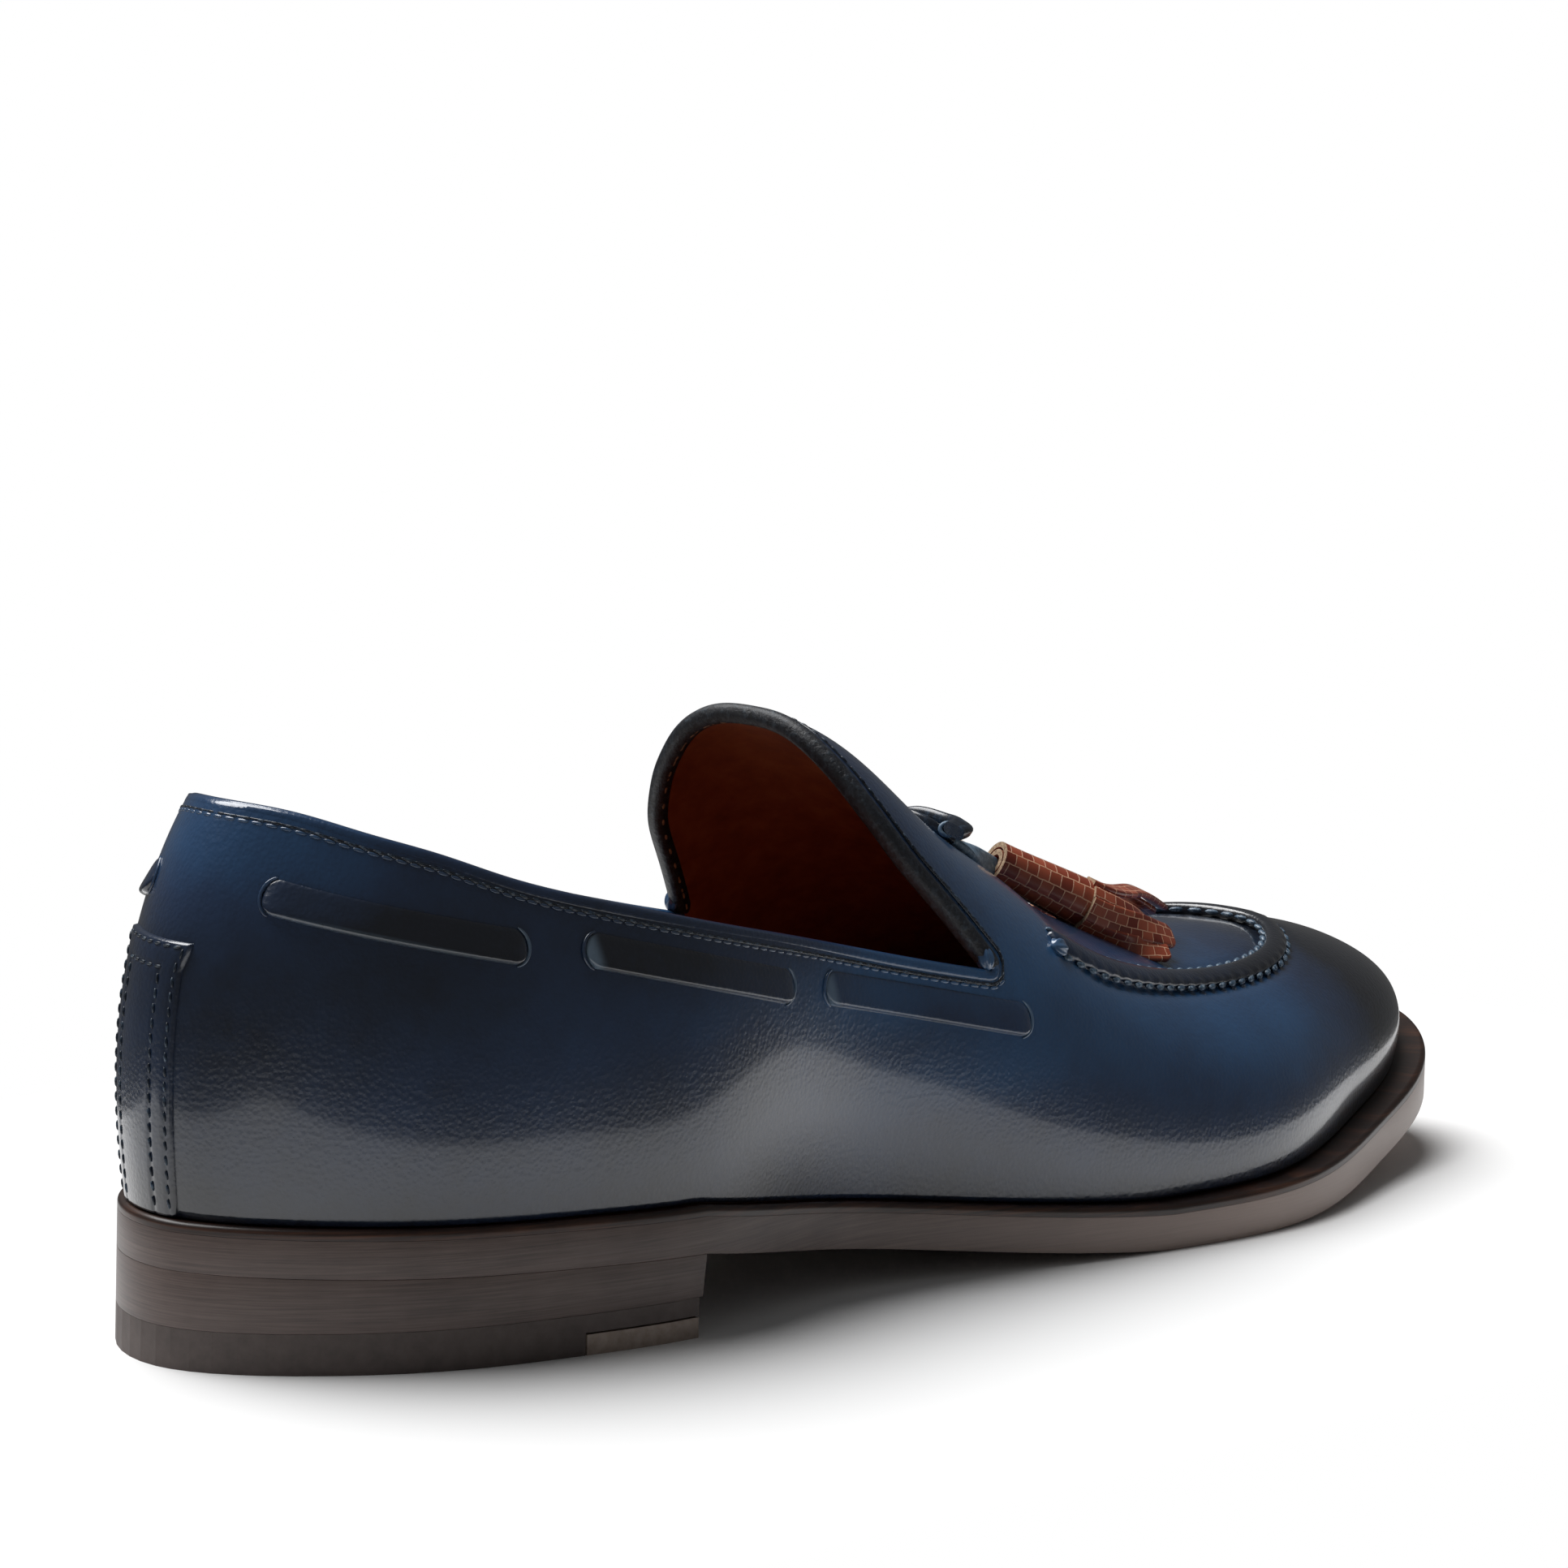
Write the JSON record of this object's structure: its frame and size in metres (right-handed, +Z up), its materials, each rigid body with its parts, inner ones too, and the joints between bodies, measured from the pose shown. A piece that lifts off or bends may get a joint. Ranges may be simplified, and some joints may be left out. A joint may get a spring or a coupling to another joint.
{
  "type": "tassel loafer",
  "caption": "Right slip-on dress shoe of calf leather with a laced collar, a pair of tassels on the vamp, a leather sole and a stacked heel.",
  "frame": {"origin": "middle of the shoe's bounding box, on the floor plane that the heel and the ball of the sole stand on", "axes": "+X from heel to toe, +Y toward the medial side of this right shoe, +Z up"},
  "size_m": [0.301, 0.1022, 0.0906],
  "materials": {
    "sole_leather": "oak-bark sole leather, edge waxed grey-brown, fine layers",
    "welt_leather": "dark brown waxed strip",
    "lift_rubber": "matt dark heel rubber",
    "tan_lining": "smooth red-brown vegetable-tanned lining",
    "navy_calf": "polished navy calf with near-black burnished edges",
    "blue_lace": "flat blue-grey leather lace, satin",
    "red_brown_embossed_calf": "scale-embossed red-brown calf with raw beige cut edges"
  },
  "bodies": {
    "root": {"outsole": "sole_leather", "welt": "welt_leather", "heel_stack": "sole_leather", "top_lift": "lift_rubber", "lift_front": "sole_leather", "insole": "tan_lining", "upper": "navy_calf", "back_strap": "navy_calf", "apron_seam": "navy_calf", "lace_bar_lateral_1": "navy_calf", "lace_bar_lateral_2": "navy_calf", "lace_bar_lateral_3": "navy_calf", "lace_bar_medial_1": "navy_calf", "lace_bar_medial_2": "navy_calf", "lace_bar_medial_3": "navy_calf", "lace_end_lateral": "blue_lace", "lace_end_medial": "blue_lace", "tassel_lateral": "red_brown_embossed_calf", "tassel_medial": "red_brown_embossed_calf"}
  },
  "joints": []
}
